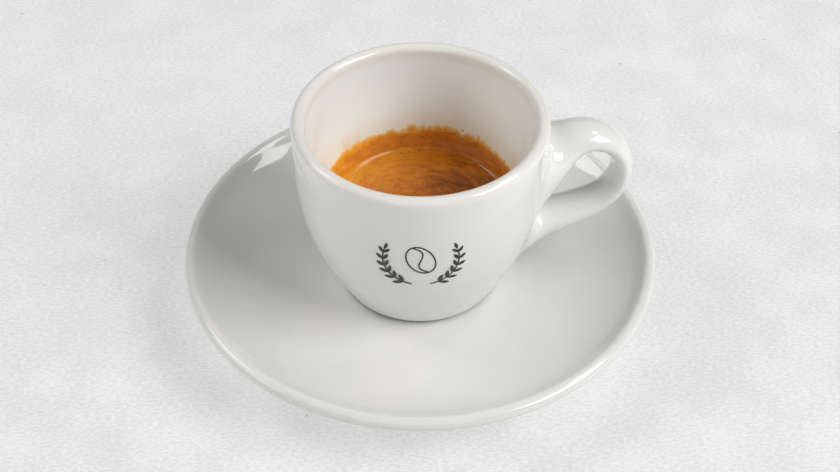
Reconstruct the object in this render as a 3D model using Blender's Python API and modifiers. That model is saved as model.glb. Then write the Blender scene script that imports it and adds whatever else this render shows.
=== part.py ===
"""An espresso shot in its thick-walled porcelain cup, standing on a saucer.

Frame: metres, +Z up. The origin is on the cup's axis, in the plane that the saucer stands on.
The handle's loop lies in the XZ plane, towards +X. Sizes below are in millimetres.
"""
import math

import bmesh
import bpy
from mathutils import Vector

MM = 0.001
SEGMENTS = 64             # faces round each turned piece
GAP = 0.3                 # air between pieces that rest on each other or touch
MERGE_DISTANCE = 0.00001  # metres, for the turned pieces' poles and the handle's caps

# Saucer: a shallow dish with a thick round lip, on a foot ring
SAUCER_RADIUS = 60.0
SAUCER_WELL_HEIGHT = 7.8
SAUCER_WELL_RADIUS = 20.0
SAUCER_RIM_HEIGHT = 16.7
SAUCER_LIP_THICKNESS = 3.54
SAUCER_FLOOR_THICKNESS = 4.6
SAUCER_WALL_DROP = 4.4         # from the dish's top face straight down to its underside
SAUCER_FOOT_RADIUS = 35.0
SAUCER_FOOT_WIDTH = 3.2
SAUCER_LIP_INNER_ANGLE = 130.0
SAUCER_LIP_OUTER_ANGLE = -50.0

# Cup: an egg-shaped bowl with a round lip, standing in the saucer's well
CUP_HEIGHT = 49.8
CUP_FOOT_RADIUS = 20.0
CUP_LIP_RADIUS = 30.97
CUP_LIP_THICKNESS = 3.44
CUP_FOOT_WIDTH = 3.1
CUP_FOOT_RECESS = 1.7
CUP_FLOOR_THICKNESS = 4.9
# Outer and inner wall: height above the cup's foot, and radius
CUP_OUTER_WALL = ((3.2, 21.55), (8.2, 24.1), (13.2, 26.4), (18.2, 28.05), (23.2, 29.25),
                  (28.2, 30.1), (33.2, 30.5), (41.0, 30.7))
CUP_INNER_WALL = ((39.0, 27.1), (30.0, 26.2), (21.0, 24.45), (13.0, 22.1), (8.7, 19.3), (5.9, 14.5))

# Handle: a flattened loop that swells into the wall at both roots.
# Each station is the distance from the cup's axis, the height above the cup's foot,
# and the loop's half thickness there.
HANDLE_STATIONS = ((28.6, 34.8, 6.5), (31.5, 35.2, 6.1), (36.0, 38.6, 4.2), (42.4, 41.0, 3.2), (50.8, 35.6, 2.6),
                   (51.4, 24.2, 2.5), (44.8, 17.8, 2.8), (36.9, 15.6, 3.8), (27.5, 12.4, 4.2), (23.6, 12.9, 3.9))
HANDLE_RATIO_AT_WALL = 1.3      # the loop's width as a share of its thickness, at its roots
HANDLE_RATIO_AT_BEND = 1.85     # and where it turns down
HANDLE_SIDES = 16

# Drink: the level in the cup, the foam on top, and the foam that clings to the wall
DRINK_LEVEL = 20.2              # above the cup's foot
CREMA_THICKNESS = 2.2
COLLAR_THICKNESS = 0.7
COLLAR_HEIGHT = 5.9             # mean height above the drink's level
MENISCUS_REACH = 3.0            # how far in from the wall the surface starts to climb
MENISCUS_RISE = 0.5
# Waves of the collar's top edge: waves round the cup, share of the mean height, phase in degrees
COLLAR_WAVES = ((1, 0.10, -90.0), (2, 0.07, 40.0), (5, 0.05, 10.0), (9, 0.05, 70.0), (14, 0.04, 0.0))

CUP_BASE = SAUCER_WELL_HEIGHT + GAP

# Colour, roughness and metallic value
PORCELAIN = ((0.83, 0.84, 0.81, 1.0), 0.08, 0.0)
ESPRESSO = ((0.045, 0.012, 0.003, 1.0), 0.1, 0.0)
CREMA = ((0.55, 0.22, 0.045, 1.0), 0.3, 0.0)


def clear_scene():
    """Remove every object of the opened file."""
    for thing in list(bpy.data.objects):
        bpy.data.objects.remove(thing, do_unlink=True)


def new_collection(name):
    """Add a collection to the scene."""
    collection = bpy.data.collections.new(name)
    bpy.context.scene.collection.children.link(collection)
    return collection


def new_material(name, finish):
    """Make a Principled BSDF material from a colour, a roughness and a metallic value."""
    colour, roughness, metallic = finish
    material = bpy.data.materials.new(name)
    material.use_nodes = True
    shader = material.node_tree.nodes["Principled BSDF"]
    shader.inputs["Base Color"].default_value = colour
    shader.inputs["Roughness"].default_value = roughness
    shader.inputs["Metallic"].default_value = metallic
    return material


def arc(centre, radius, start, end, steps):
    """Points on an arc of a turned outline, from one angle in degrees to another."""
    angles = [math.radians(start + (end - start) * i / steps) for i in range(steps + 1)]
    return [(centre[0] + radius * math.cos(a), centre[1] + radius * math.sin(a)) for a in angles]


def smooth_line(points, steps):
    """Centripetal Catmull-Rom curve through the points, with the given steps in each span."""
    knots = [Vector(point) for point in points]
    knots = [2 * knots[0] - knots[1]] + knots + [2 * knots[-1] - knots[-2]]
    line = []
    for a, b, c, d in zip(knots, knots[1:], knots[2:], knots[3:]):
        t1 = (b - a).length ** 0.5
        t2 = t1 + (c - b).length ** 0.5
        t3 = t2 + (d - c).length ** 0.5
        for step in range(steps):
            t = t1 + (t2 - t1) * step / steps
            ab = a.lerp(b, t / t1)
            bc = b.lerp(c, (t - t1) / (t2 - t1))
            cd = c.lerp(d, (t - t2) / (t3 - t2))
            abc = ab.lerp(bc, t / t2)
            bcd = bc.lerp(cd, (t - t1) / (t3 - t1))
            line.append(tuple(abc.lerp(bcd, (t - t1) / (t2 - t1))))
    return line + [tuple(points[-1])]


def raised(points, height):
    """Turn (height, radius) stations into outline points lifted by a height."""
    return [(radius, z + height) for z, radius in points]


def turned(name, outline, material, collection):
    """Turn an outline of (radius, height) points, from the top's centre to the bottom's, into a solid."""
    mesh = bpy.data.meshes.new(name)
    points = [(radius * MM, 0.0, z * MM) for radius, z in outline]
    mesh.from_pydata(points, [(i, i + 1) for i in range(len(points) - 1)], [])
    solid = bpy.data.objects.new(name, mesh)
    solid.data.materials.append(material)
    collection.objects.link(solid)
    screw = solid.modifiers.new("Turn", "SCREW")
    screw.axis = "Z"
    screw.angle = math.tau
    screw.steps = SEGMENTS
    screw.render_steps = SEGMENTS
    screw.use_merge_vertices = True
    screw.merge_threshold = MERGE_DISTANCE
    screw.use_smooth_shade = True
    return solid


def baked_mesh(thing, name):
    """The evaluated mesh of an object, with loose caps welded on."""
    bpy.context.view_layer.update()
    evaluated = thing.evaluated_get(bpy.context.evaluated_depsgraph_get())
    mesh = bpy.data.meshes.new_from_object(evaluated)
    mesh.name = name
    work = bmesh.new()
    work.from_mesh(mesh)
    bmesh.ops.remove_doubles(work, verts=work.verts, dist=MERGE_DISTANCE)
    work.to_mesh(mesh)
    work.free()
    return mesh


def saucer_outline():
    """The saucer's dish, lip, underside and foot ring."""
    lip_radius = SAUCER_LIP_THICKNESS / 2
    lip_centre = (SAUCER_RADIUS - lip_radius, SAUCER_RIM_HEIGHT - lip_radius)
    lip = arc(lip_centre, lip_radius, SAUCER_LIP_INNER_ANGLE, SAUCER_LIP_OUTER_ANGLE, 8)
    well = SAUCER_WELL_HEIGHT
    dish = [(SAUCER_WELL_RADIUS, well), (30.0, well + 0.35), (40.0, well + 1.75), (48.0, well + 3.9),
            (54.0, well + 6.45)]
    under = [(r, z - SAUCER_WALL_DROP) for r, z in reversed(dish[2:])]
    foot_outer = SAUCER_FOOT_RADIUS
    foot_inner = SAUCER_FOOT_RADIUS - SAUCER_FOOT_WIDTH
    recess = well - SAUCER_FLOOR_THICKNESS
    foot = [(foot_outer + 1.2, 4.3), (foot_outer + 0.2, 3.2), (foot_outer, 0.6), (foot_outer - 0.6, 0.0),
            (foot_inner + 0.6, 0.0), (foot_inner, 0.6), (foot_inner - 0.4, recess - 0.6),
            (foot_inner - 1.4, recess)]
    return ([(0.0, well), (SAUCER_WELL_RADIUS / 2, well)] + smooth_line(dish + [lip[0]], 2) + lip[1:-1]
            + smooth_line([lip[-1]] + under, 2) + foot + [(foot_inner / 2, recess), (0.0, recess)])


def cup_lip():
    """The lip's centre in the outline, and its radius."""
    lip_radius = CUP_LIP_THICKNESS / 2
    return (CUP_LIP_RADIUS - lip_radius, CUP_BASE + CUP_HEIGHT - lip_radius), lip_radius


def cup_inner_line(steps):
    """The cup's inner wall, from the lip down to the floor's centre."""
    centre, lip_radius = cup_lip()
    floor = CUP_BASE + CUP_FLOOR_THICKNESS
    stations = [(centre[0] - lip_radius, centre[1])] + raised(CUP_INNER_WALL, CUP_BASE)
    return smooth_line(stations + [(8.0, floor + 0.1), (0.0, floor)], steps)


def cup_outline():
    """The cup's floor, inner wall, lip, outer wall and foot."""
    centre, lip_radius = cup_lip()
    inner = list(reversed(cup_inner_line(2)))
    lip = arc(centre, lip_radius, 180.0, 0.0, 8)
    outer = smooth_line([lip[-1]] + raised(reversed(CUP_OUTER_WALL), CUP_BASE)
                        + [(CUP_FOOT_RADIUS + 0.15, CUP_BASE + 0.4)], 1)
    foot_inner = CUP_FOOT_RADIUS - CUP_FOOT_WIDTH
    recess = CUP_BASE + CUP_FOOT_RECESS
    foot = [(CUP_FOOT_RADIUS - 0.35, CUP_BASE), (foot_inner + 0.5, CUP_BASE), (foot_inner, CUP_BASE + 0.5),
            (foot_inner - 0.5, recess - 0.3), (foot_inner - 1.3, recess), (0.0, recess)]
    return inner[:-1] + lip[:-1] + outer + foot


def wall_radius(height):
    """The cup's inner radius at a height above the standing plane."""
    line = cup_inner_line(6)
    for (r_high, z_high), (r_low, z_low) in zip(line, line[1:]):
        if z_low <= height <= z_high:
            return r_low + (r_high - r_low) * (height - z_low) / (z_high - z_low)
    return line[-1][0]


def drink_surface():
    """The drink's level above the standing plane."""
    return CUP_BASE + DRINK_LEVEL


def espresso_outline():
    """The coffee below the foam, one gap clear of the cup all round."""
    line = [Vector(point) for point in cup_inner_line(2)]
    shell = []
    for before, here, after in zip(line, line[1:], line[2:]):
        along = (after - before).normalized()
        shell.append(here + GAP * Vector((along.y, -along.x)))
    top = drink_surface() - CREMA_THICKNESS - GAP
    below = [tuple(point) for point in shell if point.y < top - GAP]
    floor = CUP_BASE + CUP_FLOOR_THICKNESS + GAP
    edge = wall_radius(top) - 1.2 * GAP
    return [(0.0, top), (edge / 2, top), (edge, top)] + below + [(0.0, floor)]


def crema_outline():
    """The foam disc, its raised edge, and the collar at its mean height on the wall."""
    level = drink_surface()
    under = level - CREMA_THICKNESS
    top = level + COLLAR_HEIGHT
    skin = GAP + COLLAR_THICKNESS
    edge = wall_radius(level)
    meniscus = smooth_line([(edge - MENISCUS_REACH, level), (edge - skin - 0.7, level + 0.4 * MENISCUS_RISE),
                            (wall_radius(level + 1.5) - skin, level + 1.5)], 2)
    middle = level + (1.5 + COLLAR_HEIGHT) / 2
    collar = [(wall_radius(middle) - skin, middle), (wall_radius(top) - skin + 0.3, top - 0.2),
              (wall_radius(top) - GAP - 0.1, top), (wall_radius(middle) - GAP, middle)]
    skirt = [(wall_radius(level) - GAP, level), (wall_radius(under) - 1.2 * GAP, under)]
    return ([(0.0, level), (edge / 3, level), (2 * edge / 3, level)] + meniscus + collar + skirt
            + [(edge / 2, under), (0.0, under)])


def collar_share(angle):
    """How tall the collar is at an angle, as a share of its mean height."""
    return 1.0 + sum(depth * math.sin(waves * angle + math.radians(phase))
                     for waves, depth, phase in COLLAR_WAVES)


def ragged_collar(crema):
    """Give the foam's collar its uneven top edge, each point sliding along the wall."""
    crema.data = baked_mesh(crema, "crema")
    crema.modifiers.clear()
    level = drink_surface()
    foot = level + 1.5
    for vertex in crema.data.vertices:
        x, y, z = (value / MM for value in vertex.co)
        radius = math.hypot(x, y)
        if z <= foot + 0.01 or radius < 1.0:
            continue
        angle = math.atan2(y, x)
        inset = wall_radius(z) - radius
        z = foot + (z - foot) * collar_share(angle)
        radius = wall_radius(z) - inset
        vertex.co = Vector((radius * math.cos(angle), radius * math.sin(angle), z)) * MM
    crema.data.shade_smooth()


def handle_tool(material, collection):
    """The handle as a closed mesh, in the tools' collection."""
    curve = bpy.data.curves.new("handle_path", "CURVE")
    curve.dimensions = "3D"
    curve.bevel_depth = MM
    curve.bevel_resolution = HANDLE_SIDES // 2 - 2
    curve.use_fill_caps = True
    curve.resolution_u = 5
    curve.twist_mode = "MINIMUM"
    spline = curve.splines.new("NURBS")
    spline.points.add(len(HANDLE_STATIONS) - 1)
    spline.order_u = 4
    spline.use_endpoint_u = True
    for point, (x, z, half_thickness) in zip(spline.points, HANDLE_STATIONS):
        point.co = (x * MM, 0.0, (z + CUP_BASE) * MM, 1.0)
        point.radius = half_thickness
    path = bpy.data.objects.new("handle_path", curve)
    collection.objects.link(path)
    mesh = baked_mesh(path, "handle")
    mesh.materials.clear()
    mesh.materials.append(material)
    root = HANDLE_STATIONS[0][0] * MM
    bend = max(x for x, _, _ in HANDLE_STATIONS) * MM
    for vertex in mesh.vertices:
        out = min(max((vertex.co.x - root) / (bend - root), 0.0), 1.0)
        vertex.co.y *= HANDLE_RATIO_AT_WALL + (HANDLE_RATIO_AT_BEND - HANDLE_RATIO_AT_WALL) * out
    bpy.data.objects.remove(path, do_unlink=True)
    handle = bpy.data.objects.new("handle_tool", mesh)
    collection.objects.link(handle)
    handle.hide_render = True
    handle.display_type = "WIRE"
    return handle


def build():
    """Make the saucer, the cup with its handle, the coffee and the foam."""
    clear_scene()
    parts = new_collection("espresso_shot")
    tools = new_collection("tools")
    porcelain = new_material("porcelain", PORCELAIN)
    turned("saucer", saucer_outline(), porcelain, parts)
    cup = turned("cup", cup_outline(), porcelain, parts)
    union = cup.modifiers.new("Handle", "BOOLEAN")
    union.operation = "UNION"
    union.solver = "EXACT"
    union.object = handle_tool(porcelain, tools)
    turned("espresso", espresso_outline(), new_material("espresso", ESPRESSO), parts)
    crema = turned("crema", crema_outline(), new_material("crema", CREMA), parts)
    ragged_collar(crema)


build()
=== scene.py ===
"""An espresso with its crema, in a thick porcelain cup on its saucer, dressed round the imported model.

The classes hold their sizes in millimetres, as a potter's drawing would. MM turns them into metres.
The origin is on the cup's axis in the plane that the saucer stands on, and the handle points along +X.
"""
import logging
import math
from dataclasses import dataclass
from enum import Enum
from functools import partial
from typing import Callable, Optional, Union

import bmesh
import bpy
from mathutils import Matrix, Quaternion, Vector, noise

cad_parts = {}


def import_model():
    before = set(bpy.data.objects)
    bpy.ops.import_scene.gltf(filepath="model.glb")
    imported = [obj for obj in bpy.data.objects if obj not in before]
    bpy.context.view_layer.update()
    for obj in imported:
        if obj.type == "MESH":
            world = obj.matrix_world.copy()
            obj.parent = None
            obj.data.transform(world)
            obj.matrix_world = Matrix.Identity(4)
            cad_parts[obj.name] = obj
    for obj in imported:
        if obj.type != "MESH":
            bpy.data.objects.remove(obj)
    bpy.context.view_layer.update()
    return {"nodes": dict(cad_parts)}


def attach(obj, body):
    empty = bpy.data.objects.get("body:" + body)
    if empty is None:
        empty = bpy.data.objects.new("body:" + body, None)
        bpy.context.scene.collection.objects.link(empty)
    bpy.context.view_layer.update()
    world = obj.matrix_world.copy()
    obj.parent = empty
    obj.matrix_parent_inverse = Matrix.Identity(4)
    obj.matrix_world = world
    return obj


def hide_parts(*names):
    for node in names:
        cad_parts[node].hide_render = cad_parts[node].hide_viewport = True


LOG = logging.getLogger("espresso")
MM = 0.001
MERGE_DISTANCE = 0.000002
# How close counts as the same place, in millimetres
NEAR = 0.01

Outline = list[tuple[float, float]]
Colour = tuple[float, float, float]
Band = tuple[float, float]
Wall = Callable[[float], float]
Piece = bpy.types.Object
Socket = bpy.types.NodeSocket
Value = Union[float, Socket]


class CadNode(Enum):
    """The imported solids, by the names of their nodes."""

    SAUCER = "saucer"
    CUP = "cup"
    ESPRESSO = "espresso"
    CREMA = "crema"


class Slot(Enum):
    """The record's material slots."""

    SAUCER_GLAZE = "saucer_glaze"
    CUP_GLAZE = "cup_glaze"
    COFFEE = "coffee"
    FOAM = "foam"


BODY = "root"


def arc(centre: tuple[float, float], radius: float, start: float, end: float, steps: int) -> Outline:
    """Points of an arc in a turned outline, between angles in degrees from outwards, 90 being up."""
    angles = [math.radians(start + (end - start) * i / steps) for i in range(steps + 1)]
    return [(centre[0] + radius * math.cos(a), centre[1] + radius * math.sin(a)) for a in angles]


def smooth_line(points: Outline, steps: int) -> Outline:
    """Centripetal Catmull-Rom curve through points.

    Args:
        points: the stations it passes through.
        steps: steps in each span.

    Returns:
        The points of the curve, both ends included.
    """
    knots = [Vector(point) for point in points]
    knots = [2 * knots[0] - knots[1]] + knots + [2 * knots[-1] - knots[-2]]
    line = []
    for a, b, c, d in zip(knots, knots[1:], knots[2:], knots[3:]):
        t1 = (b - a).length ** 0.5
        t2 = t1 + (c - b).length ** 0.5
        t3 = t2 + (d - c).length ** 0.5
        for step in range(steps):
            t = t1 + (t2 - t1) * step / steps
            ab = a.lerp(b, t / t1)
            bc = b.lerp(c, (t - t1) / (t2 - t1))
            cd = c.lerp(d, (t - t2) / (t3 - t2))
            abc = ab.lerp(bc, t / t2)
            bcd = bc.lerp(cd, (t - t1) / (t3 - t1))
            line.append(tuple(abc.lerp(bcd, (t - t1) / (t2 - t1))))
    return line + [tuple(points[-1])]


def radius_at(line: Outline, height: float) -> float:
    """Radius of a wall's outline at a height.

    Args:
        line: the wall as (radius, height) points, in order of height either way.
        height: the height to look up.

    Returns:
        The radius there, or the nearer end's radius beyond the ends.
    """
    ordered = sorted(line, key=lambda point: point[1])
    for (r_low, z_low), (r_high, z_high) in zip(ordered, ordered[1:]):
        if z_low <= height <= z_high and z_high > z_low:
            return r_low + (r_high - r_low) * (height - z_low) / (z_high - z_low)
    return ordered[0][0] if height < ordered[0][1] else ordered[-1][0]


def cage_share(segments: int) -> float:
    """How far a subdivided ring draws in from its cage of that many corners, as a share of its radius."""
    return (2 + math.cos(math.tau / segments)) / 3


def around(radius: float, angle: float, height: float) -> Vector:
    """The place at a distance from the Z axis, an angle round it in radians, and a height."""
    return Vector((radius * math.cos(angle), radius * math.sin(angle), height))


def steps_between(start: float, end: float, count: int) -> list[float]:
    """Evenly spaced values after a start, up to an end and with it."""
    return [start + (end - start) * i / count for i in range(1, count + 1)]


class EditMesh:
    """A new mesh object that is shaped in edit mode."""

    def __init__(self, name: str) -> None:
        """Start from a small plane at the origin, in edit mode.

        Args:
            name: the object's name.
        """
        if bpy.context.mode != "OBJECT":
            bpy.ops.object.mode_set(mode="OBJECT")
        bpy.ops.object.select_all(action="DESELECT")
        bpy.ops.mesh.primitive_plane_add(size=MM, location=(0.0, 0.0, 0.0))
        self.thing = bpy.context.active_object
        self.thing.name = name
        self.thing.data.name = name
        bpy.ops.object.mode_set(mode="EDIT")
        bpy.ops.mesh.select_mode(type="VERT")
        bpy.ops.mesh.select_all(action="SELECT")

    def draw(self, outline: Outline) -> None:
        """Merge the plane to one vertex and extrude it along an outline in the XZ plane.

        Args:
            outline: (radius, height) points in millimetres.
        """
        bpy.ops.mesh.merge(type="CENTER")
        here = Vector((0.0, 0.0, 0.0))
        for number, (radius, height) in enumerate(outline):
            there = Vector((radius, 0.0, height)) * MM
            if number:
                bpy.ops.mesh.extrude_region_move(TRANSFORM_OT_translate={"value": there - here})
            else:
                bpy.ops.transform.translate(value=there)
            here = there

    def spin(self, segments: int) -> None:
        """Spin what is drawn once round the Z axis and merge the seam and the poles.

        Args:
            segments: faces round the turned piece.
        """
        bpy.ops.mesh.select_all(action="SELECT")
        bpy.ops.mesh.spin(steps=segments, angle=math.tau, center=(0.0, 0.0, 0.0), axis=(0.0, 0.0, 1.0))
        bpy.ops.mesh.select_all(action="SELECT")
        bpy.ops.mesh.remove_doubles(threshold=MERGE_DISTANCE)

    def renumber(self) -> int:
        """Leave and enter edit mode, so that what is added next is numbered after what is there.

        Returns:
            The number of vertices so far.
        """
        bpy.ops.object.mode_set(mode="OBJECT")
        bpy.ops.object.mode_set(mode="EDIT")
        return len(self.thing.data.vertices)

    def select(self, kind: str, wanted: Callable[..., bool]) -> None:
        """Select the faces or edges that pass a test, and nothing else.

        Args:
            kind: FACE or EDGE.
            wanted: the test, given a face or an edge.
        """
        bpy.ops.mesh.select_mode(type=kind)
        bpy.ops.mesh.select_all(action="DESELECT")
        mesh = bmesh.from_edit_mesh(self.thing.data)
        mesh.verts.index_update()
        for element in mesh.faces if kind == "FACE" else mesh.edges:
            element.select_set(wanted(element))
        bmesh.update_edit_mesh(self.thing.data)

    def add_ring(self, centre: Vector, radius: float, width_ratio: float, tilt: float, sides: int) -> None:
        """Add an open ring of vertices whose axis lies in the XZ plane.

        Args:
            centre: its centre in millimetres.
            radius: its radius in the XZ plane.
            width_ratio: its half width along Y as a share of that radius.
            tilt: turn of its axis about Y, in radians from +Z.
            sides: number of vertices.
        """
        bpy.ops.mesh.select_mode(type="VERT")
        bpy.ops.mesh.select_all(action="DESELECT")
        bpy.ops.mesh.primitive_circle_add(vertices=sides, radius=radius * MM, fill_type="NOTHING",
                                          location=centre * MM, rotation=(0.0, tilt, 0.0))
        bpy.ops.transform.resize(value=(1.0, width_ratio, 1.0), center_override=centre * MM)

    def finish(self, smooth_levels: int = 0) -> Piece:
        """Turn the faces outwards, leave edit mode, round the form and shade it smooth.

        Args:
            smooth_levels: levels of Subdivision Surface to apply, or 0 for none.

        Returns:
            The finished object, at the origin, with its place in its mesh.
        """
        bpy.ops.mesh.select_all(action="SELECT")
        bpy.ops.mesh.normals_make_consistent(inside=False)
        bpy.ops.mesh.select_all(action="DESELECT")
        bpy.ops.object.mode_set(mode="OBJECT")
        if smooth_levels:
            rounding = self.thing.modifiers.new("Rounding", "SUBSURF")
            rounding.levels = smooth_levels
            rounding.render_levels = smooth_levels
            bpy.ops.object.modifier_apply(modifier=rounding.name)
        bpy.ops.object.shade_smooth()
        return self.thing


class Recipe:
    """A material's node tree, written one node at a time."""

    def __init__(self, name: str) -> None:
        """Start with a Principled shader and the Object coordinates.

        Args:
            name: the material's name.
        """
        self.material = bpy.data.materials.new(name)
        self.material.use_nodes = True
        self.nodes = self.material.node_tree.nodes
        self.links = self.material.node_tree.links
        self.shader = self.nodes["Principled BSDF"]
        self.place = self.nodes.new("ShaderNodeTexCoord").outputs["Object"]

    def node(self, kind: str, inputs: Optional[dict] = None, **settings: object) -> bpy.types.Node:
        """Add a node.

        Args:
            kind: the node's type without its ShaderNode start.
            inputs: what each input holds: a value, or the output it is linked from.
            settings: the node's own properties.

        Returns:
            The node.
        """
        made = self.nodes.new("ShaderNode" + kind)
        for name, setting in settings.items():
            setattr(made, name, setting)
        for name, source in (inputs or {}).items():
            self.plug(made.inputs[name], source)
        return made

    def plug(self, socket: Socket, source: object) -> None:
        """Fill a socket.

        Args:
            socket: the socket.
            source: a value, or the output that it is linked from.
        """
        if isinstance(source, Socket):
            self.links.new(source, socket)
        else:
            socket.default_value = source

    def chain(self, operation: str, first: Value, *others: Value) -> Socket:
        """Math nodes of one kind, one after another.

        Args:
            operation: what each of them does.
            first: the value that they start from.
            others: the values that they take in turn.

        Returns:
            The result.
        """
        for other in others:
            first = self.node("Math", {0: first, 1: other}, operation=operation).outputs[0]
        return first

    def times(self, *values: Value) -> Socket:
        """Product of values."""
        return self.chain("MULTIPLY", *values)

    def plus(self, *values: Value) -> Socket:
        """Sum of values."""
        return self.chain("ADD", *values)

    def vector(self, operation: str, *vectors: object) -> Socket:
        """One Vector Math node: its value for a length or a dot product, or else its vector."""
        made = self.node("VectorMath", dict(enumerate(vectors)), operation=operation)
        return made.outputs["Value" if operation in ("LENGTH", "DOT_PRODUCT") else "Vector"]

    def slope(self, steepness: tuple[float, float, float]) -> Socket:
        """A value that is 0 at the origin and grows by the given amounts per metre along X, Y and Z."""
        return self.vector("DOT_PRODUCT", self.place, steepness)

    def cells(self, scale: float) -> Socket:
        """Distance to the nearest of scattered points, as a share of their spacing."""
        return self.node("TexVoronoi", {"Vector": self.place, "Scale": scale}).outputs["Distance"]

    def noise(self, where: Socket, scale: float, detail: float = 2.0,
              roughness: float = 0.5, distortion: float = 0.0) -> Socket:
        """Noise between 0 and 1, its scale in features per metre of the coordinates."""
        return self.node("TexNoise", {"Vector": where, "Scale": scale, "Detail": detail,
                                      "Roughness": roughness, "Distortion": distortion}).outputs[0]

    def range(self, value: Value, low: float, high: float, to_low: float = 0.0, to_high: float = 1.0,
              smooth: bool = True) -> Socket:
        """Map a value from one range to another, held at the ends."""
        return self.node("MapRange", {"Value": value, "From Min": low, "From Max": high, "To Min": to_low,
                                      "To Max": to_high}, clamp=True,
                         interpolation_type="SMOOTHSTEP" if smooth else "LINEAR").outputs[0]

    def mix(self, share: Value, a: object, b: object) -> Socket:
        """Mix two colours, or the outputs they come from, with the share of the second one."""
        a, b = (colour if isinstance(colour, Socket) else (*colour, 1.0) for colour in (a, b))
        return self.node("Mix", {0: share, 6: a, 7: b}, data_type="RGBA").outputs[2]

    def ramp(self, value: Socket, stops: list[tuple[float, Colour]]) -> Socket:
        """Colour ramp.

        Args:
            value: what is looked up, from 0 to 1.
            stops: (place, colour) pairs, in order.

        Returns:
            The colour.
        """
        made = self.node("ValToRGB", {"Fac": value})
        elements = made.color_ramp.elements
        while len(elements) < len(stops):
            elements.new(0.5)
        for element, (place, colour) in zip(elements, stops):
            element.position = place
            element.color = (*colour, 1.0)
        return made.outputs["Color"]

    def polar(self) -> tuple[Socket, Socket, Socket]:
        """Distance from the Z axis, direction from it as a unit vector, and height, in metres."""
        parts = self.node("SeparateXYZ", {0: self.place}).outputs
        flat = self.node("CombineXYZ", {"X": parts["X"], "Y": parts["Y"]}).outputs[0]
        return self.vector("LENGTH", flat), self.vector("NORMALIZE", flat), parts["Z"]

    def bump(self, height: Socket, distance: float) -> Socket:
        """Bump from a height between 0 and 1, with the height of 1 in metres."""
        return self.node("Bump", {"Height": height, "Distance": distance}).outputs[0]

    def feed(self, **sources: object) -> None:
        """Set or link the shader's sockets, underscores standing for spaces in their names."""
        for name, source in sources.items():
            self.plug(self.shader.inputs[name.replace("_", " ")], source)


@dataclass(frozen=True)
class PorcelainGlaze:
    """White porcelain under clear glaze."""

    name: str
    body: Colour
    warm: Colour
    ripple: float = 0.000012

    def make(self) -> bpy.types.Material:
        """Build the material.

        Returns:
            The material.
        """
        recipe = Recipe(self.name)
        clouds = recipe.range(recipe.noise(recipe.place, 45.0, 3.0), 0.35, 0.65)
        colour = self.tint(recipe, recipe.mix(clouds, self.body, self.warm))
        waves = recipe.noise(recipe.place, 260.0, 2.0)
        peel = recipe.noise(recipe.place, 1500.0, 1.0)
        skin = recipe.plus(recipe.times(waves, 0.8), recipe.times(peel, 0.12))
        gloss = recipe.range(recipe.noise(recipe.place, 120.0, 2.0), 0.3, 0.7, 0.035, 0.07)
        recipe.feed(Base_Color=colour, Roughness=gloss, Normal=recipe.bump(skin, self.ripple), IOR=1.5)
        return recipe.material

    def tint(self, recipe: Recipe, colour: Socket) -> Socket:
        """The colour as it is, for a clean piece."""
        return colour


@dataclass(frozen=True)
class StainedGlaze(PorcelainGlaze):
    """The cup's glaze: coffee streaks above the foam and a thinly glazed lip, with painted light: a warm
    painted reflection of the crema above the foam, a lighter painted inside and a painted contact shadow at
    the foot.

    Each band is the two heights in metres between which its layer comes up from none to full.
    """

    # Painted light: the inside wall gets a lighter, cooler copy of the glaze than the outside
    inner: Colour = (0.885, 0.92, 0.9)
    # Painted reflection: a warm glow on the inner wall just above the foam, for light thrown back from the
    # crema
    painted_bounce: Colour = (0.8, 0.72, 0.48)
    lip: Colour = (0.835, 0.82, 0.765)
    # Painted shadow: a dark band round the bottom of the foot, for the contact shadow where the cup stands on
    # the saucer
    foot: Colour = (0.16, 0.16, 0.13)
    streak: Colour = (0.72, 0.5, 0.24)
    splash: Colour = (0.74, 0.5, 0.2)
    lip_band: Band = (0.0535, 0.0568)
    foot_shadow_band: Band = (0.0089, 0.0084)
    painted_bounce_band: Band = (0.041, 0.033)
    streak_band: Band = (0.042, 0.031)
    splash_band: Band = (0.0385, 0.033)
    wall_heights: Band = (0.03, 0.057)
    wall_middles: Band = (0.0262, 0.0294)
    inner_floor: float = 0.026

    def tint(self, recipe: Recipe, colour: Socket) -> Socket:
        """Lay the stains and the painted light over the clean glaze.

        Args:
            recipe: the material being written.
            colour: the clean glaze's colour.

        Returns:
            The colour with the stains.
        """
        radius, direction, height = recipe.polar()
        middle_of_wall = recipe.range(height, *self.wall_heights, *self.wall_middles, smooth=False)
        inside = recipe.times(recipe.chain("LESS_THAN", radius, middle_of_wall),
                              recipe.chain("GREATER_THAN", height, self.inner_floor))
        stretched = recipe.node("CombineXYZ", {"Z": recipe.times(height, 8.0)}).outputs[0]
        where = recipe.vector("ADD", direction, stretched)
        streaks = recipe.range(recipe.noise(where, 9.0, 5.0, 0.6), 0.42, 0.72)
        splashes = recipe.range(recipe.noise(where, 3.4, 4.0, 0.55), 0.48, 0.68)
        right = recipe.range(recipe.node("SeparateXYZ", {0: direction}).outputs["X"], -0.5, 0.9, 0.3, 1.0)
        at_lip, in_foot_shadow, in_painted_bounce, streaked, splashed = (recipe.range(height, *band) for band in (
            self.lip_band, self.foot_shadow_band, self.painted_bounce_band, self.streak_band, self.splash_band))
        below_lip = recipe.range(recipe.chain("SUBTRACT", inside, at_lip), 0.0, 1.0, smooth=False)
        # The lighter inside, the warm glow above the foam and the dark foot band are painted light; the
        # streaks and splashes are stains
        layers = ((below_lip, self.inner), (recipe.times(in_painted_bounce, inside, 0.35), self.painted_bounce), (at_lip, self.lip),
                  (in_foot_shadow, self.foot), (recipe.times(streaks, streaked, right, inside, 0.3), self.streak),
                  (recipe.times(splashes, splashed, inside, 0.5), self.splash))
        for share, layer in layers:
            colour = recipe.mix(share, colour, layer)
        return colour


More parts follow.
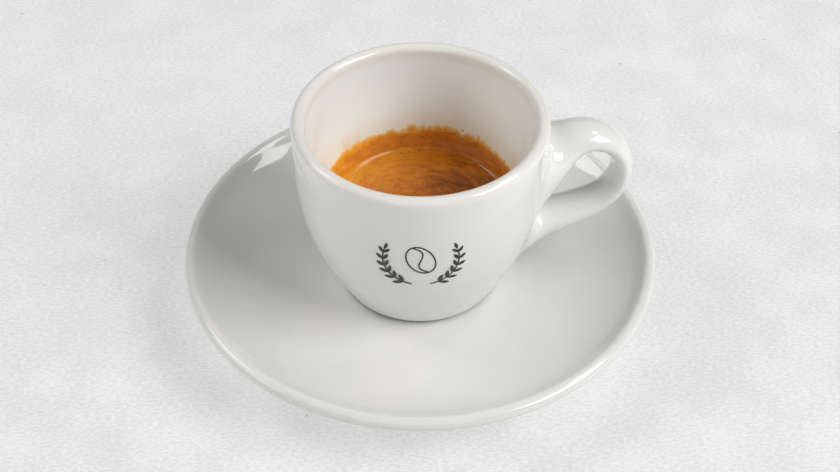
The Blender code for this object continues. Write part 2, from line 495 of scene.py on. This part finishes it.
@dataclass(frozen=True)
class CremaFoam:
    """Golden foam of a fresh espresso: dark strands in its surface, and paler where it clings thinly."""

    name: str = "crema_foam"
    cream: Colour = (0.84, 0.58, 0.24)
    pale: Colour = (0.86, 0.42, 0.07)
    golden: Colour = (0.78, 0.31, 0.022)
    orange: Colour = (0.68, 0.21, 0.012)
    russet: Colour = (0.5, 0.145, 0.01)
    brown: Colour = (0.33, 0.09, 0.008)
    dark: Colour = (0.115, 0.029, 0.005)
    # Turn of the strands in radians, and number of them, for each metre out from the middle
    swirl: float = 55.0
    strands_per_metre: float = 420.0
    # How fast the surface and the collar darken along X, Y and Z, per metre; the surface's darkening is
    # partly the crema's own tone and partly painted shade
    surface_tone_and_shade_slope: tuple[float, float, float] = (10.0, -20.0, 0.0)
    collar_slope: tuple[float, float, float] = (7.28, 3.36, 0.0)
    relief: float = 0.00003

    def make(self) -> bpy.types.Material:
        """Build the material.

        Returns:
            The material.
        """
        recipe = Recipe(self.name)
        radius, direction, _ = recipe.polar()
        turned = recipe.node("VectorRotate", {"Vector": direction, "Axis": (0.0, 0.0, 1.0),
                                              "Angle": recipe.times(radius, self.swirl)},
                             rotation_type="AXIS_ANGLE").outputs[0]
        outward = recipe.node("CombineXYZ", {"Z": recipe.times(radius, self.strands_per_metre)}).outputs[0]
        strand_place = recipe.vector("ADD", recipe.vector("MULTIPLY", turned, (2.2, 2.2, 0.0)), outward)
        strands = recipe.noise(strand_place, 1.6, 6.0, 0.62)
        patches = recipe.noise(recipe.place, 220.0, 6.0, 0.7, 0.4)
        # The surface slope darkens the foam towards +X and the front: partly its own tone, partly painted
        # shade
        shade = recipe.plus(recipe.times(strands, 0.85), recipe.times(patches, 0.65),
                            recipe.slope(self.surface_tone_and_shade_slope), -0.04)
        surface = recipe.ramp(recipe.range(shade, 0.22, 0.95, smooth=False),
                              [(0.0, self.golden), (0.26, self.orange), (0.48, self.russet),
                               (0.7, self.brown), (1.0, self.dark)])
        film, rise, cling = (recipe.node("Attribute", attribute_name=name).outputs["Fac"]
                             for name in ("film", "rise", "cling"))
        clots = recipe.noise(recipe.vector("MULTIPLY", recipe.place, (1.0, 1.0, 2.4)), 330.0, 6.0, 0.68)
        tone = recipe.plus(recipe.slope(self.collar_slope), recipe.times(clots, 0.9),
                           recipe.times(rise, -0.32))
        fringe = recipe.ramp(recipe.range(tone, 0.03, 1.0, smooth=False),
                             [(0.0, self.pale), (0.2, self.golden), (0.4, self.orange), (0.62, self.russet),
                              (1.0, self.brown)])
        thick = recipe.range(recipe.plus(film, recipe.times(clots, 0.16)), 0.06, 0.42)
        colour = recipe.mix(cling, surface, recipe.mix(thick, self.cream, fringe))
        bubbles = recipe.range(recipe.cells(420.0), 0.16, 0.09)
        rare = recipe.range(recipe.noise(recipe.place, 230.0, 1.0), 0.56, 0.66)
        pinholes = recipe.times(bubbles, rare)
        colour = recipe.mix(recipe.times(pinholes, 0.7), colour, self.dark)
        grain = recipe.noise(recipe.place, 2600.0, 2.0)
        lumps = recipe.times(clots, recipe.range(cling, 0.9, 1.0), 3.0)
        skin = recipe.chain("SUBTRACT", recipe.plus(recipe.times(grain, 0.5), lumps), pinholes)
        recipe.feed(Base_Color=colour, Roughness=0.1, IOR=1.36, Normal=recipe.bump(skin, self.relief))
        return recipe.material


@dataclass(frozen=True)
class PrintInk:
    """Dark ink fired under the glaze."""

    name: str = "print_ink"
    body: Colour = (0.018, 0.018, 0.02)
    worn: Colour = (0.045, 0.044, 0.045)

    def make(self) -> bpy.types.Material:
        """Build the material.

        Returns:
            The material.
        """
        recipe = Recipe(self.name)
        clouds = recipe.range(recipe.noise(recipe.place, 900.0, 3.0), 0.4, 0.7)
        recipe.feed(Base_Color=recipe.mix(clouds, self.body, self.worn), Roughness=0.18, IOR=1.5)
        return recipe.material


@dataclass(frozen=True)
class CoffeeLiquid:
    """Black coffee under the foam."""

    name: str = "coffee_liquid"
    body: Colour = (0.03, 0.009, 0.003)
    lit: Colour = (0.06, 0.02, 0.006)

    def make(self) -> bpy.types.Material:
        """Build the material.

        Returns:
            The material.
        """
        recipe = Recipe(self.name)
        clouds = recipe.noise(recipe.place, 90.0, 3.0)
        recipe.feed(Base_Color=recipe.mix(clouds, self.body, self.lit), Roughness=0.08, IOR=1.34)
        return recipe.material


@dataclass(frozen=True)
class PaperTable:
    """Pale, finely textured paper for the floor."""

    name: str = "pale_paper"
    light: Colour = (0.9, 0.9, 0.9)
    shade: Colour = (0.77, 0.77, 0.775)
    speck: Colour = (0.4, 0.385, 0.37)
    matt_share: float = 0.5
    glow: float = 0.5

    def make(self) -> bpy.types.Material:
        """Build the material.

        Returns:
            The material.
        """
        recipe = Recipe(self.name)
        fibres = recipe.noise(recipe.vector("MULTIPLY", recipe.place, (1.0, 2.2, 1.0)), 800.0, 4.0, 0.65)
        clouds = recipe.noise(recipe.place, 60.0, 3.0)
        tone = recipe.plus(recipe.times(fibres, 0.75), recipe.times(clouds, 0.25))
        colour = recipe.mix(recipe.range(tone, 0.38, 0.62), self.shade, self.light)
        dots = recipe.range(recipe.cells(110.0), 0.06, 0.03)
        sparse = recipe.range(recipe.noise(recipe.place, 75.0, 1.0), 0.5, 0.6)
        colour = recipe.mix(recipe.times(dots, sparse, 0.6), colour, self.speck)
        matt = recipe.vector("MULTIPLY", colour, (self.matt_share,) * 3)
        recipe.feed(Base_Color=matt, Roughness=0.85, Normal=recipe.bump(fibres, 0.00015),
                    Emission_Color=colour, Emission_Strength=self.glow)
        return recipe.material


@dataclass
class Saucer:
    """A shallow dish with a thick round lip, on a foot ring."""

    radius: float = 60.0
    well_height: float = 7.8
    well_radius: float = 20.0
    rim_height: float = 16.7
    lip_thickness: float = 3.54
    floor_thickness: float = 4.6
    wall_drop: float = 4.4
    foot_radius: float = 35.0
    foot_width: float = 3.2
    lip_inner_angle: float = 130.0
    lip_outer_angle: float = -50.0
    segments: int = 64
    smooth_levels: int = 2
    glaze: PorcelainGlaze = PorcelainGlaze("saucer_glaze", (0.8, 0.79, 0.755), (0.785, 0.785, 0.755))

    def outline(self) -> Outline:
        """The turned outline, from the well's centre over the lip to the underside's centre."""
        lip_radius = self.lip_thickness / 2
        centre = (self.radius - lip_radius, self.rim_height - lip_radius)
        lip = arc(centre, lip_radius, self.lip_inner_angle, self.lip_outer_angle, 8)
        well = self.well_height
        dish = [(self.well_radius, well), (30.0, well + 0.35), (40.0, well + 1.75), (48.0, well + 3.9),
                (54.0, well + 6.45)]
        under = [(r, z - self.wall_drop) for r, z in reversed(dish[2:])]
        foot_outer = self.foot_radius
        foot_inner = self.foot_radius - self.foot_width
        recess = well - self.floor_thickness
        foot = [(foot_outer + 1.2, 4.3), (foot_outer + 0.2, 3.2), (foot_outer, 0.6), (foot_outer - 0.6, 0.0),
                (foot_inner + 0.6, 0.0), (foot_inner, 0.6), (foot_inner - 0.4, recess - 0.6),
                (foot_inner - 1.4, recess)]
        return ([(0.0, well), (self.well_radius / 2, well)] + smooth_line(dish + [lip[0]], 2) + lip[1:-1]
                + smooth_line([lip[-1]] + under, 2) + foot + [(foot_inner / 2, recess), (0.0, recess)])

    def build(self) -> Piece:
        """Turn the saucer and dress it.

        Returns:
            The finished piece.
        """
        work = EditMesh("saucer_porcelain")
        share = cage_share(self.segments)
        work.draw([(radius / share, height) for radius, height in self.outline()])
        work.spin(self.segments)
        piece = work.finish(self.smooth_levels)
        piece.data.materials.append(self.glaze.make())
        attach(piece, BODY)
        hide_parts(CadNode.SAUCER.value)
        return piece


@dataclass(frozen=True)
class Handle:
    """The cup's loop: a path of control points and the loop's half thickness at each."""

    stations: tuple[tuple[float, float, float], ...] = (
        (28.6, 34.8, 6.5), (31.5, 35.2, 6.1), (36.0, 38.6, 4.2), (42.4, 41.0, 3.2), (50.8, 35.6, 2.6),
        (51.4, 24.2, 2.5), (44.8, 17.8, 2.8), (36.9, 15.6, 3.8), (27.5, 12.4, 4.2), (23.6, 12.9, 3.9))
    ratio_at_wall: float = 1.3
    ratio_at_bend: float = 1.85
    flare: float = 1.9
    flare_reach: float = 7.0
    sides: int = 20
    rings: int = 22
    upper_clearance: float = 1.7
    lower_clearance: float = 1.9

    def spline(self, share: float) -> Vector:
        """A point of the clamped cubic B-spline over the stations.

        Args:
            share: place along it, from 0 to 1.

        Returns:
            Distance from the axis, height above the cup's foot, and half thickness.
        """
        degree = 3
        count = len(self.stations)
        knots = ([0.0] * degree + [float(i) for i in range(count - degree + 1)]
                 + [float(count - degree)] * degree)
        u = share * (count - degree)
        span = min(int(u), count - degree - 1) + degree
        points = [Vector(self.stations[span - degree + i]) for i in range(degree + 1)]
        for level in range(1, degree + 1):
            for i in range(degree, level - 1, -1):
                low = knots[span - degree + i]
                high = knots[span + 1 + i - level]
                points[i] = points[i - 1].lerp(points[i], (u - low) / (high - low))
        return points[degree]

    def sections(self, base: float, wall: Wall) -> list[tuple[Vector, float, float, float]]:
        """The rings of the loop that stand clear of the cup's wall.

        Args:
            base: height of the cup's foot.
            wall: the cup's outer radius at a height.

        Returns:
            Centre, radius, width ratio and tilt of each ring, from the upper root to the lower one.
        """
        fine = [self.spline(i / 400) for i in range(401)]
        clear = [i for i, (x, z, _) in enumerate(fine)
                 if x > wall(z + base) + (self.upper_clearance if i < 200 else self.lower_clearance)]
        first, last = clear[0], clear[-1]
        made = []
        bend = max(x for x, _, _ in self.stations)
        root = self.stations[0][0]
        for ring in range(self.rings):
            at = first + (last - first) * ring / (self.rings - 1)
            x, z, half = self.spline(at / 400)
            ahead = self.spline(min(at + 1, 400) / 400) - self.spline(max(at - 1, 0) / 400)
            out = min(max((x - root) / (bend - root), 0.0), 1.0)
            ratio = self.ratio_at_wall + (self.ratio_at_bend - self.ratio_at_wall) * out
            near = max(1.0 - (x - wall(z + base)) / self.flare_reach, 0.0)
            half += self.flare * near * near
            made.append((Vector((x, 0.0, z + base)), half / cage_share(self.sides), ratio,
                         math.atan2(ahead.x, ahead.y)))
        return made


@dataclass
class Cup:
    """An egg-shaped bowl with a round lip and a loop handle, standing in the saucer's well."""

    base: float = 8.1
    height: float = 49.8
    foot_radius: float = 20.0
    lip_outer_radius: float = 30.97
    lip_thickness: float = 3.44
    foot_width: float = 3.1
    foot_recess: float = 1.7
    floor_thickness: float = 4.9
    outer_wall: Outline = ((3.2, 21.55), (8.2, 24.1), (13.2, 26.4), (18.2, 28.05), (23.2, 29.25),
                           (28.2, 30.1), (33.2, 30.5), (41.0, 30.7))
    inner_wall: Outline = ((39.0, 27.1), (30.0, 26.2), (21.0, 24.45), (13.0, 22.1), (8.7, 19.3), (5.9, 14.5))
    segments: int = 48
    smooth_levels: int = 2
    handle: Handle = Handle()
    # Levels of the outer wall's rings above the foot: each root of the handle spans four of their spaces
    wall_rings: tuple[float, ...] = (45.6, 43.0, 38.6, 34.3, 29.9, 25.6, 22.4, 18.2, 14.0, 9.8, 5.6, 3.2)
    upper_root: tuple[float, float] = (25.6, 43.0)
    lower_root: tuple[float, float] = (5.6, 22.4)
    root_half_faces: int = 3
    glaze: PorcelainGlaze = StainedGlaze("cup_glaze", (0.815, 0.825, 0.8), (0.82, 0.815, 0.795))

    def lip(self) -> tuple[tuple[float, float], float]:
        """The lip's centre in the outline, and its radius."""
        lip_radius = self.lip_thickness / 2
        return (self.lip_outer_radius - lip_radius, self.base + self.height - lip_radius), lip_radius

    def inner_line(self, steps: int) -> Outline:
        """The inner wall, from the lip down to the floor's centre, with the given steps in each span."""
        centre, lip_radius = self.lip()
        floor = self.base + self.floor_thickness
        wall = [(radius, z + self.base) for z, radius in self.inner_wall]
        return smooth_line([(centre[0] - lip_radius, centre[1])] + wall
                           + [(8.0, floor + 0.1), (0.0, floor)], steps)

    def outer_line(self, steps: int) -> Outline:
        """The outer wall, from the lip down to the foot's edge, with the given steps in each span."""
        centre, lip_radius = self.lip()
        wall = [(radius, z + self.base) for z, radius in reversed(self.outer_wall)]
        return smooth_line([(centre[0] + lip_radius, centre[1])] + wall
                           + [(self.foot_radius + 0.15, self.base + 0.4)], steps)

    def outline(self) -> Outline:
        """The turned outline, from the floor's centre over the lip to the foot recess's centre."""
        centre, lip_radius = self.lip()
        inner = list(reversed(self.inner_line(2)))
        lip = arc(centre, lip_radius, 180.0, 0.0, 8)
        fine = self.outer_line(12)
        outer = [(radius_at(fine, z + self.base), z + self.base) for z in self.wall_rings]
        foot_inner = self.foot_radius - self.foot_width
        recess = self.base + self.foot_recess
        foot = [(self.foot_radius + 0.75, self.base + 1.5), (self.foot_radius + 0.15, self.base + 0.4),
                (self.foot_radius - 0.35, self.base), (foot_inner + 0.5, self.base),
                (foot_inner, self.base + 0.5), (foot_inner - 0.5, recess - 0.3), (foot_inner - 1.3, recess),
                (foot_inner / 2, recess), (0.0, recess)]
        return inner[:-1] + lip + outer + foot

    def open_root(self, work: EditMesh, span: tuple[float, float]) -> None:
        """Delete the wall's faces where the handle grows out of it.

        Args:
            work: the cup being shaped.
            span: lowest and highest level of the root, above the foot.
        """
        low, high = span[0] + self.base, span[1] + self.base
        half = math.tau / self.segments * self.root_half_faces
        inner, outer = self.inner_line(4), self.outer_line(4)

        def in_root(face: bmesh.types.BMFace) -> bool:
            """Whether a face's centre lies in the root."""
            place = face.calc_center_median() / MM
            middle_of_wall = 0.5 * (radius_at(inner, place.z) + radius_at(outer, place.z))
            outside = math.hypot(place.x, place.y) > middle_of_wall
            in_front = place.x > 0 and abs(math.atan2(place.y, place.x)) < half
            return low < place.z < high and outside and in_front

        work.select("FACE", in_root)
        bpy.ops.mesh.delete(type="FACE")

    def join_handle(self, work: EditMesh) -> None:
        """Lay the handle's rings and bridge them to each other and to the openings in the wall.

        Args:
            work: the cup being shaped, with both roots open.
        """
        sections = self.handle.sections(self.base, partial(radius_at, self.outer_line(8)))
        start = work.renumber()
        sides = self.handle.sides
        for centre, radius, ratio, tilt in sections:
            work.add_ring(centre, radius, ratio, tilt, sides)

        def ring_of(vertex: bmesh.types.BMVert) -> int:
            """Number of the ring that a vertex belongs to, or -1 for the wall."""
            return (vertex.index - start) // sides if vertex.index >= start else -1

        def in_ring(edge: bmesh.types.BMEdge, ring: int) -> bool:
            """Whether an edge lies along a ring."""
            return ring_of(edge.verts[0]) == ring and ring_of(edge.verts[1]) == ring

        for ring in range(len(sections) - 1):
            work.select("EDGE", lambda edge: in_ring(edge, ring) or in_ring(edge, ring + 1))
            bpy.ops.mesh.bridge_edge_loops()
        middle = (self.lower_root[1] + self.upper_root[0]) / 2 + self.base
        for ring, upper in ((0, True), (len(sections) - 1, False)):
            def at_root(edge: bmesh.types.BMEdge) -> bool:
                """Whether an edge bounds this root's opening in the wall."""
                on_wall = max(ring_of(vertex) for vertex in edge.verts) < 0
                height = (edge.verts[0].co.z + edge.verts[1].co.z) / 2 / MM
                return edge.is_boundary and on_wall and (height > middle) == upper

            work.select("EDGE", lambda edge: at_root(edge) or in_ring(edge, ring))
            bpy.ops.mesh.bridge_edge_loops()

    def build(self) -> Piece:
        """Turn the cup, grow its handle and dress it.

        Returns:
            The finished piece.
        """
        work = EditMesh("cup_porcelain")
        share = cage_share(self.segments)
        work.draw([(radius / share, height) for radius, height in self.outline()])
        work.spin(self.segments)
        self.open_root(work, self.upper_root)
        self.open_root(work, self.lower_root)
        self.join_handle(work)
        piece = work.finish(self.smooth_levels)
        piece.data.materials.append(self.glaze.make())
        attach(piece, BODY)
        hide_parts(CadNode.CUP.value)
        return piece


@dataclass
class Crema:
    """The foam on the coffee and the ragged collar of foam that clings to the cup's wall."""

    cup: Cup
    level: float = 20.2
    thickness: float = 2.2
    meniscus_reach: float = 3.9
    meniscus_top: float = 3.1
    # Points of the meniscus: how far in from the wall, and how high above the level
    meniscus: Outline = ((3.0, 0.1), (2.36, 0.39), (1.82, 0.84), (1.43, 1.42))
    bead_height: float = 1.4
    thickest_at: float = 160.0
    thinnest: float = 0.6
    film: float = 0.92
    into_wall: float = 0.2
    overrun: float = 1.25
    steps: int = 720
    # Top edge of the collar above the level, by angle round the cup in degrees
    collar_tops: Outline = (
        (17.0, 4.3), (33.0, 5.3), (45.0, 6.4), (58.0, 6.1), (71.0, 6.9), (94.0, 5.7), (107.0, 5.9),
        (120.0, 5.5), (131.0, 5.2), (147.0, 4.2), (175.0, 4.6), (205.0, 5.2), (240.0, 4.8), (275.0, 5.4),
        (310.0, 4.9), (345.0, 4.4))
    front_rows: int = 24
    back_rows: int = 8
    finish: CremaFoam = CremaFoam()

    def surface(self) -> float:
        """The drink's level above the standing plane."""
        return self.cup.base + self.level

    def collar_top(self, angle: float) -> float:
        """Height of the collar's edge above the level, with rounded steps between its stations.

        Args:
            angle: angle round the cup in radians.

        Returns:
            The height in millimetres.
        """
        turn = math.degrees(angle) % 360.0
        stations = [(self.collar_tops[-1][0] - 360.0, self.collar_tops[-1][1]), *self.collar_tops,
                    (self.collar_tops[0][0] + 360.0, self.collar_tops[0][1])]
        for (a, low), (b, high) in zip(stations, stations[1:]):
            if a <= turn <= b:
                share = (turn - a) / (b - a)
                return low + (high - low) * share * share * (3 - 2 * share)
        return stations[0][1]

    def bulk(self, angle: float) -> float:
        """Thickness of the foam on the wall at an angle in radians, as a share of the drawn one."""
        towards = 0.65 + 0.35 * math.cos(angle - math.radians(self.thickest_at))
        return max(towards * towards, self.thinnest)

    def mean_top(self) -> float:
        """Mean height of the collar's stations."""
        return sum(top for _, top in self.collar_tops) / len(self.collar_tops)

    def outline(self, wall: Wall) -> Outline:
        """The turned outline: foam disc, meniscus, both faces of the collar, and the underside."""
        level = self.surface()
        edge = wall(level)
        flat = [(edge * i / 24, level) for i in range(22)]
        start = edge - self.meniscus_reach
        foot = level + self.meniscus_top
        curve = smooth_line([(start, level)] + [(edge - inwards, level + up) for inwards, up in self.meniscus]
                            + [(wall(foot) - self.film, foot)], 6)
        top = foot + (self.mean_top() - self.meniscus_top) * self.overrun
        front = [(wall(z) - self.film, z) for z in steps_between(foot, top, self.front_rows)]
        back = [(wall(z) + self.into_wall, z) for z in steps_between(top, level, self.back_rows)]
        under = level - self.thickness
        skirt = [(wall(z) + self.into_wall, z) for z in (level - 0.8, level - 1.5, under)]
        return ([point for point in flat if point[0] < start - 0.3] + curve + front + back + skirt
                + [(wall(under) * 0.6, under), (0.0, under)])

    def build(self) -> Piece:
        """Spin the foam, ruffle its collar and dress it.

        Returns:
            The finished piece.
        """
        wall = partial(radius_at, self.cup.inner_line(8))
        work = EditMesh("crema_foam")
        work.draw(self.outline(wall))
        work.spin(self.steps)
        piece = work.finish()
        self.ruffle(piece, wall)
        piece.data.materials.append(self.finish.make())
        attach(piece, BODY)
        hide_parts(CadNode.CREMA.value)
        return piece

    def ruffle(self, piece: Piece, wall: Wall) -> None:
        """Slide the collar along the wall to its uneven height and thin it to a ragged edge.

        Args:
            piece: the spun foam.
            wall: the cup's inner radius at a height.
        """
        mesh = piece.data
        film = mesh.attributes.new("film", "FLOAT", "POINT")
        cling = mesh.attributes.new("cling", "FLOAT", "POINT")
        rise = mesh.attributes.new("rise", "FLOAT", "POINT")
        level = self.surface()
        foot = level + self.meniscus_top
        start = wall(level) - self.meniscus_reach
        span = self.mean_top() - self.meniscus_top
        for number, vertex in enumerate(mesh.vertices):
            x, y, z = vertex.co / MM
            radius = math.hypot(x, y)
            film.data[number].value = 1.0
            angle = math.atan2(y, x)
            in_front = radius < wall(z)
            bulk = self.bulk(angle)
            if z <= foot + 0.001 or radius < 1.0:
                cling.data[number].value = min(max((z - level) / self.bead_height, 0.0), 1.0)
                if in_front and z > level - NEAR and radius > start - NEAR:
                    radius = wall(z) - (wall(z) - radius) * bulk
                    vertex.co = around(radius, angle, z) * MM
                continue
            share = (z - foot) / span
            z = foot + share * (self.collar_top(angle) - self.meniscus_top)
            if in_front:
                place = around(24.0, angle, z)
                teeth = noise.fractal(Vector((place.x * 0.9, place.y * 0.9, z * 0.35)), 0.8, 2.1, 5)
                lumps = noise.fractal(place * 0.35, 1.0, 2.0, 3)
                inset = bulk * self.film * (1 - share) + share * (0.2 * teeth + 0.16 * lumps) - 0.02 * share
                if share > self.overrun - 0.02:
                    inset = min(inset, -0.05)
            else:
                inset = -self.into_wall
            film.data[number].value = max(inset, 0.0)
            cling.data[number].value = 1.0
            rise.data[number].value = share
            vertex.co = around(wall(z) - inset, angle, z) * MM
        mesh.update()


@dataclass
class BeanPrint:
    """A plain ornament on the cup's front: a coffee bean between two leafy sprigs, in thin dark lines.

    Its places are millimetres on the wall, across and up from the ornament's middle.
    """

    cup: Cup
    facing: float = -97.5
    middle: float = 39.6
    line_width: float = 0.34
    bean_half: tuple[float, float] = (3.2, 4.6)
    bean_tilt: float = 24.0
    sprig_radius: float = 9.0
    sprig_start: float = 14.0
    sprig_end: float = 108.0
    leaf_pairs: int = 6
    leaf_length: float = 2.7
    leaf_half_width: float = 0.5
    lift: float = 0.07
    depth: float = 0.08
    ink: PrintInk = PrintInk()

    def on_wall(self, flat: Vector, line: Outline) -> Vector:
        """A place on the wall, in metres.

        Args:
            flat: a place in the flat ornament: across in x, inwards in y and up in z, in millimetres.
            line: the cup's outer wall.

        Returns:
            The point, just proud of the glaze.
        """
        height = self.middle + flat.z
        radius = radius_at(line, height) + self.lift - flat.y
        return around(radius, math.radians(self.facing) + flat.x / radius, height) * MM

    def bean(self) -> list[Outline]:
        """Both halves of the bean's outline, and its crease."""
        tilt = math.radians(self.bean_tilt)
        wide, tall = self.bean_half

        def turned(x: float, y: float) -> tuple[float, float]:
            """A point of the upright bean, tilted."""
            return x * math.cos(tilt) - y * math.sin(tilt), x * math.sin(tilt) + y * math.cos(tilt)

        paths = []
        for start in (0.0, math.pi):
            turns = [start + math.pi * i / 32 for i in range(33)]
            paths.append([turned(wide * math.cos(a), tall * math.sin(a)) for a in turns])
        along = [-1 + 2 * i / 24 for i in range(25)]
        paths.append([turned(0.42 * wide * math.sin(math.pi * t), 0.97 * tall * t) for t in along])
        return paths

    def on_stem(self, share: float) -> tuple[tuple[float, float], float]:
        """A point of the right sprig's stem, and its direction there in radians from across."""
        turn = math.radians(self.sprig_start + (self.sprig_end - self.sprig_start) * share)
        return (self.sprig_radius * math.sin(turn), -self.sprig_radius * math.cos(turn)), turn

    def stem(self) -> Outline:
        """The right sprig's stem."""
        return [self.on_stem(i / 30)[0] for i in range(31)]

    def leaf_places(self) -> list[tuple[tuple[float, float], float, float]]:
        """Foot, direction and relative size of each leaf of the right sprig."""
        places = []
        for pair in range(self.leaf_pairs):
            foot, forward = self.on_stem((pair + 0.8) / (self.leaf_pairs + 0.3))
            size = 1.0 - 0.05 * pair
            places += [(foot, forward + math.radians(turn), size) for turn in (-38.0, 38.0)]
        tip, forward = self.on_stem(1.0)
        return places + [(tip, forward, 0.8)]

    def leaf(self) -> Outline:
        """The outline of an almond-shaped leaf that grows from the middle to the right."""
        steps = 8
        run = [i / steps for i in range(steps + 1)]
        upper = [(self.leaf_length * (0.08 + t), self.leaf_half_width * math.sin(math.pi * t) ** 0.8)
                 for t in run]
        return upper + [(x, -y) for x, y in upper[-2:0:-1]]

    def stroke(self, path: Outline) -> Outline:
        """The outline of a stroke of even width.

        Args:
            path: its middle line.

        Returns:
            Both its edges, there and back.
        """
        left, right = [], []
        for i, (x, y) in enumerate(path):
            before, after = path[max(i - 1, 0)], path[min(i + 1, len(path) - 1)]
            along = Vector((after[0] - before[0], after[1] - before[1])).normalized() * self.line_width / 2
            left.append((x - along.y, y + along.x))
            right.append((x + along.y, y - along.x))
        return left + right[::-1]

    @staticmethod
    def flat(name: str, outline: Outline) -> Piece:
        """A flat shape in the XZ plane.

        Args:
            name: the object's name.
            outline: its edge, across and up.

        Returns:
            The shape.
        """
        work = EditMesh(name)
        work.draw(outline)
        bpy.ops.mesh.select_all(action="SELECT")
        bpy.ops.mesh.edge_face_add()
        bpy.ops.mesh.quads_convert_to_tris()
        return work.finish()

    @staticmethod
    def twin(thing: Piece) -> Piece:
        """A copy of a shape, with its own mesh."""
        made = thing.copy()
        made.data = thing.data.copy()
        bpy.context.scene.collection.objects.link(made)
        return made

    @staticmethod
    def join(things: list[Piece]) -> Piece:
        """Join shapes into the first one, as they are placed."""
        bpy.ops.object.select_all(action="DESELECT")
        for thing in things:
            thing.select_set(True)
        bpy.context.view_layer.objects.active = things[0]
        bpy.ops.object.transform_apply(location=True, rotation=True, scale=True)
        bpy.ops.object.join()
        return things[0]

    def build(self) -> Piece:
        """Draw the ornament flat, wrap it round the wall and dress it.

        Returns:
            The finished piece.
        """
        leaf = self.flat("leaf", self.leaf())
        growth = [self.flat("stem", self.stroke(self.stem()))]
        for (across, up), heading, size in self.leaf_places():
            twin = self.twin(leaf)
            twin.location = (across * MM, 0.0, up * MM)
            twin.rotation_euler = (0.0, -heading, 0.0)
            twin.scale = (size, size, size)
            growth.append(twin)
        bpy.data.objects.remove(leaf)
        sprig = self.join(growth)
        mirrored = self.twin(sprig)
        mirrored.scale = (-1.0, 1.0, 1.0)
        bean = [self.flat("bean", self.stroke(path)) for path in self.bean()]
        piece = self.join(bean + [sprig, mirrored])
        piece.name = "bean_print"
        body = piece.modifiers.new("Depth", "SOLIDIFY")
        body.thickness = self.depth * MM
        bpy.ops.object.modifier_apply(modifier=body.name)
        line = self.cup.outer_line(8)
        for vertex in piece.data.vertices:
            vertex.co = self.on_wall(vertex.co / MM, line)
        bpy.ops.object.mode_set(mode="EDIT")
        bpy.ops.mesh.select_all(action="SELECT")
        bpy.ops.mesh.normals_make_consistent(inside=False)
        bpy.ops.object.mode_set(mode="OBJECT")
        bpy.ops.object.shade_smooth_by_angle(angle=math.radians(40.0))
        piece.data.materials.clear()
        piece.data.materials.append(self.ink.make())
        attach(piece, BODY)
        return piece


@dataclass
class Coffee:
    """The coffee under the foam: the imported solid, dressed."""

    finish: CoffeeLiquid = CoffeeLiquid()

    def dress(self, node: Piece) -> Piece:
        """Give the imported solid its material.

        Args:
            node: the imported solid.

        Returns:
            The same object.
        """
        node.data.materials.clear()
        node.data.materials.append(self.finish.make())
        return node


@dataclass(frozen=True)
class SoftBox:
    """A rectangular studio light."""

    name: str
    azimuth: float
    elevation: float
    width: float
    height: float
    radiance: float
    distance: float = 1.0

    def build(self) -> None:
        """Hang the light, facing the cup."""
        light = bpy.data.lights.new(self.name, "AREA")
        light.shape = "RECTANGLE"
        light.size = self.width
        light.size_y = self.height
        light.energy = self.radiance * math.pi * self.width * self.height
        lamp = bpy.data.objects.new(self.name, light)
        bpy.context.scene.collection.objects.link(lamp)
        elevation = math.radians(self.elevation)
        towards = around(math.cos(elevation), math.radians(self.azimuth), math.sin(elevation))
        lamp.location = towards * self.distance
        lamp.rotation_mode = "QUATERNION"
        lamp.rotation_quaternion = towards.to_track_quat("Z", "Y")


@dataclass
class Studio:
    """Pale floor, soft light and the camera at the photograph's angle."""

    floor_size: float = 4.0
    lens: float = 62.8
    sensor_width: float = 36.0
    camera_place: tuple[float, float, float] = (-37.91, -269.75, 274.57)
    camera_aim: tuple[float, float, float] = (-0.81, -6.03, 24.62)
    camera_roll: float = 0.266
    sky: Colour = (1.0, 1.0, 1.0)
    sky_strength: float = 0.1
    boxes: tuple[SoftBox, ...] = (
        SoftBox("key_box", -28.0, 42.0, 0.6, 0.48, 8.0),
        SoftBox("side_box", 16.0, 57.0, 0.22, 0.17, 7.0),
        SoftBox("window_box", 155.0, 48.0, 0.34, 0.3, 6.0),
        SoftBox("fill_box", 182.0, 27.0, 0.6, 0.4, 3.0),
        SoftBox("front_box", -100.0, 30.0, 0.8, 0.5, 0.9))
    paper: PaperTable = PaperTable()

    def build_floor(self) -> None:
        """Lay the floor."""
        bpy.ops.object.select_all(action="DESELECT")
        bpy.ops.mesh.primitive_plane_add(size=self.floor_size, location=(0.0, 0.0, 0.0))
        floor = bpy.context.active_object
        floor.name = "floor"
        floor.data.materials.append(self.paper.make())

    def build_world(self) -> None:
        """Fill the room with soft light."""
        world = bpy.data.worlds.new("studio_room")
        bpy.context.scene.world = world
        world.use_nodes = True
        background = world.node_tree.nodes["Background"]
        background.inputs["Color"].default_value = (*self.sky, 1.0)
        background.inputs["Strength"].default_value = self.sky_strength

    def build_camera(self) -> None:
        """Set the camera where the photograph was taken from."""
        data = bpy.data.cameras.new("camera")
        data.lens = self.lens
        data.sensor_width = self.sensor_width
        data.clip_start = 0.01
        camera = bpy.data.objects.new("camera", data)
        bpy.context.scene.collection.objects.link(camera)
        place = Vector(self.camera_place) * MM
        aim = Vector(self.camera_aim) * MM
        camera.location = place
        camera.rotation_mode = "QUATERNION"
        roll = Quaternion((0.0, 0.0, 1.0), math.radians(self.camera_roll))
        camera.rotation_quaternion = (aim - place).to_track_quat("-Z", "Y") @ roll
        bpy.context.scene.camera = camera

    def build(self) -> None:
        """Set up floor, lights and camera."""
        self.build_floor()
        self.build_world()
        for box in self.boxes:
            box.build()
        self.build_camera()
        bpy.context.scene.view_settings.view_transform = "Standard"


def main() -> None:
    """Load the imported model, build every piece round it and light it."""
    logging.basicConfig(level=logging.INFO, format="%(name)s: %(message)s")
    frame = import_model()
    cup = Cup()
    for piece in (Saucer().build(), cup.build(), BeanPrint(cup).build(), Crema(cup).build(),
                  Coffee().dress(frame["nodes"][CadNode.ESPRESSO.value])):
        LOG.info("%s: %d faces", piece.name, len(piece.data.polygons))
    Studio().build()


if __name__ == "__main__":
    main()
